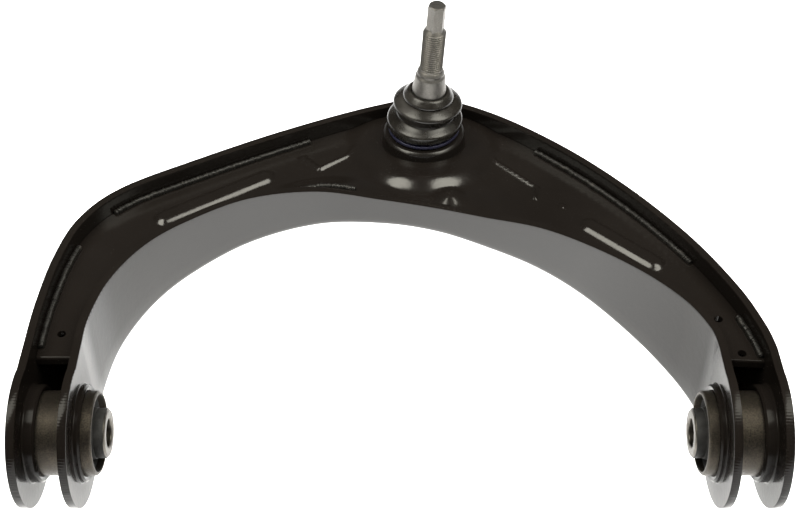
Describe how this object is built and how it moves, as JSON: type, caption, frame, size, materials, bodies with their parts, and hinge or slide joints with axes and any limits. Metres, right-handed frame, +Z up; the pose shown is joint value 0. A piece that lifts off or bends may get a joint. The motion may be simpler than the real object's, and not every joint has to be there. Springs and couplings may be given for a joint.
{
  "type": "suspension control arm",
  "caption": "Pressed-steel wishbone upper control arm with a welded top plate, two bonded rubber bushings and a pressed-in ball joint with boot and threaded stud.",
  "frame": {"origin": "bottom centre of the part's box: midway between the bushings, level with the lowest points of the four ears", "axes": "+X along the bushing axis towards the right leg, +Y from the bushings to the ball joint, +Z up along the ball-joint housing's axis"},
  "size_m": [0.4138, 0.2869, 0.1733],
  "materials": {
    "black_e_coat": "gloss black dip coat over pressed steel",
    "black_housing": "gloss black coated forged steel",
    "raw_steel_can": "dull grey-brown steel with a grainy face",
    "inner_sleeve_steel": "turned bright end faces",
    "bushing_rubber": "matt black moulded rubber",
    "phosphated_steel": "satin grey phosphate",
    "bearing_plastic": "moulded natural acetal",
    "plated_steel": "zinc plated",
    "boot_rubber": "smooth semi-gloss rubber",
    "blue_ring": "dark blue coated ring"
  },
  "bodies": {
    "arm": {"channel": "black_e_coat", "top_plate": "black_e_coat", "weld_rim_left_leg": "black_e_coat", "weld_rim_left": "black_e_coat", "weld_arch_left": "black_e_coat", "weld_arch_right": "black_e_coat", "weld_rim_right": "black_e_coat", "weld_rim_right_leg": "black_e_coat", "left_bushing_can": "raw_steel_can", "left_bushing_rubber": "bushing_rubber", "right_bushing_can": "raw_steel_can", "right_bushing_rubber": "bushing_rubber", "ball_housing": "black_housing", "preload_spring": "plated_steel", "housing_cap": "plated_steel", "retaining_ring": "plated_steel", "dust_boot": "boot_rubber", "boot_clamp_ring": "blue_ring"},
    "bearing": {"upper_race": "bearing_plastic", "lower_race": "bearing_plastic"},
    "boot_collar": {"boot_collar": "boot_rubber"},
    "stud": {"ball_stud": "phosphated_steel"},
    "left_sleeve": {"left_inner_sleeve": "inner_sleeve_steel"},
    "right_sleeve": {"right_inner_sleeve": "inner_sleeve_steel"}
  },
  "joints": [
    {"name": "stud_heading", "type": "hinge", "parent": "arm", "child": "bearing", "pos_m": [0.015, 0.1065, 0.07], "axis": [0, 0, 1], "continuous": true, "deforming": ["dust_boot"]},
    {"name": "stud_tilt", "type": "hinge", "parent": "bearing", "child": "boot_collar", "pos_m": [0.015, 0.1065, 0.07], "axis": [0, 1, 0], "range_deg": [-21.75, 14.25], "deforming": ["dust_boot"]},
    {"name": "stud_spin", "type": "hinge", "parent": "boot_collar", "child": "stud", "pos_m": [0.015, 0.1065, 0.07], "axis": [0.0654, 0, 0.9979], "continuous": true},
    {"name": "left_bushing_twist", "type": "hinge", "parent": "arm", "child": "left_sleeve", "pos_m": [-0.18175, -0.1035, 0.04], "axis": [1, 0, 0], "range_deg": [-25, 25], "stiffness_Nm_per_rad": 60},
    {"name": "right_bushing_twist", "type": "hinge", "parent": "arm", "child": "right_sleeve", "pos_m": [0.18175, -0.1035, 0.04], "axis": [1, 0, 0], "range_deg": [-25, 25], "stiffness_Nm_per_rad": 60}
  ]
}
